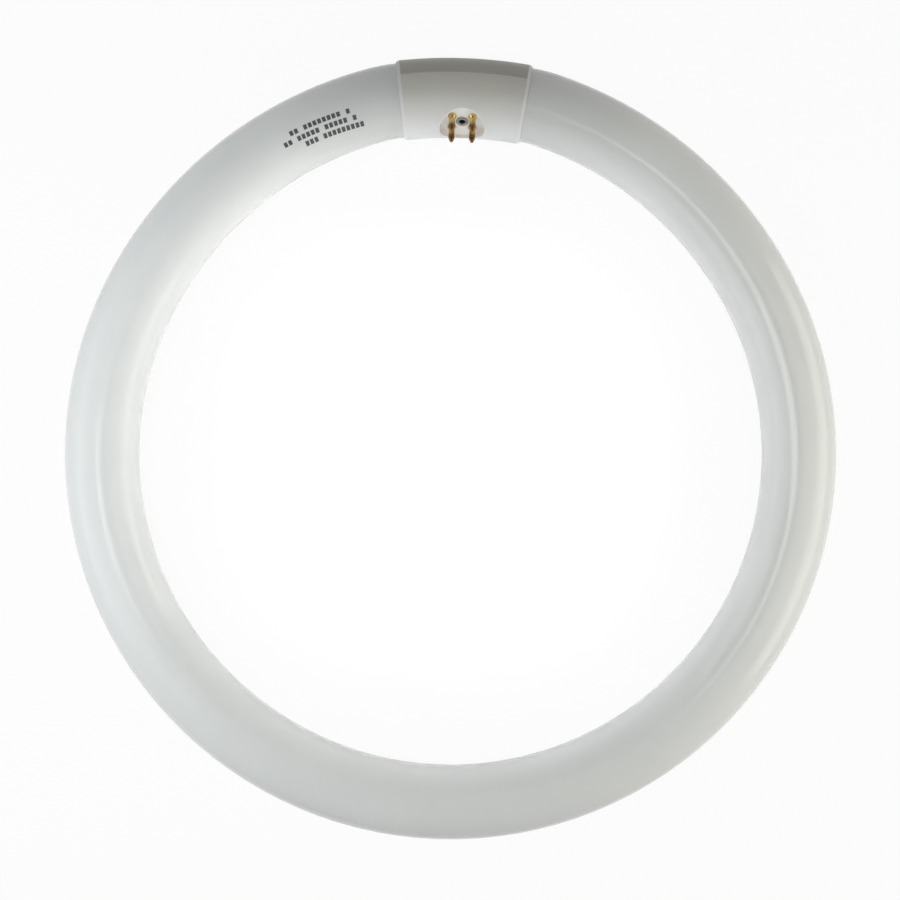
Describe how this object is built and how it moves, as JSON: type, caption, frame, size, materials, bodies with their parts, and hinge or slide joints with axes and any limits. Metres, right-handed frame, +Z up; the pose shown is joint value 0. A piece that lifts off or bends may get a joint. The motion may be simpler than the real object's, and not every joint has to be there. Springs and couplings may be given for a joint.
{
  "type": "circular fluorescent tube",
  "caption": "Ring-shaped fluorescent tube of white-coated glass, its sealed ends joined by a split plastic cap that carries brass contact pins for a push-on lamp holder.",
  "frame": {"origin": "centre of the ring's circle, on the plane that the lamp rests on when it lies flat", "axes": "+Z is up, out of the ring's plane; +Y points from the ring's centre to the cap"},
  "size_m": [0.3, 0.3039, 0.031],
  "materials": {
    "coated_glass": "clear glossy glass over an opaque white coat",
    "cap_plastic": "satin moulded",
    "pin_brass": "drawn, lightly tarnished",
    "rivet_steel": "plated",
    "lead_metal": "drawn wire"
  },
  "bodies": {
    "root": {"glass_tube": "coated_glass", "cap_pin_half": "cap_plastic", "cap_cover_half": "cap_plastic", "cap_rivet": "rivet_steel", "contact_pin_front_left": "pin_brass", "contact_pin_front_right": "pin_brass", "contact_pin_rear_left": "pin_brass", "contact_pin_rear_right": "pin_brass", "lead_wire_front_left": "lead_metal", "lead_wire_front_right": "lead_metal", "lead_wire_rear_left": "lead_metal", "lead_wire_rear_right": "lead_metal"}
  },
  "joints": []
}
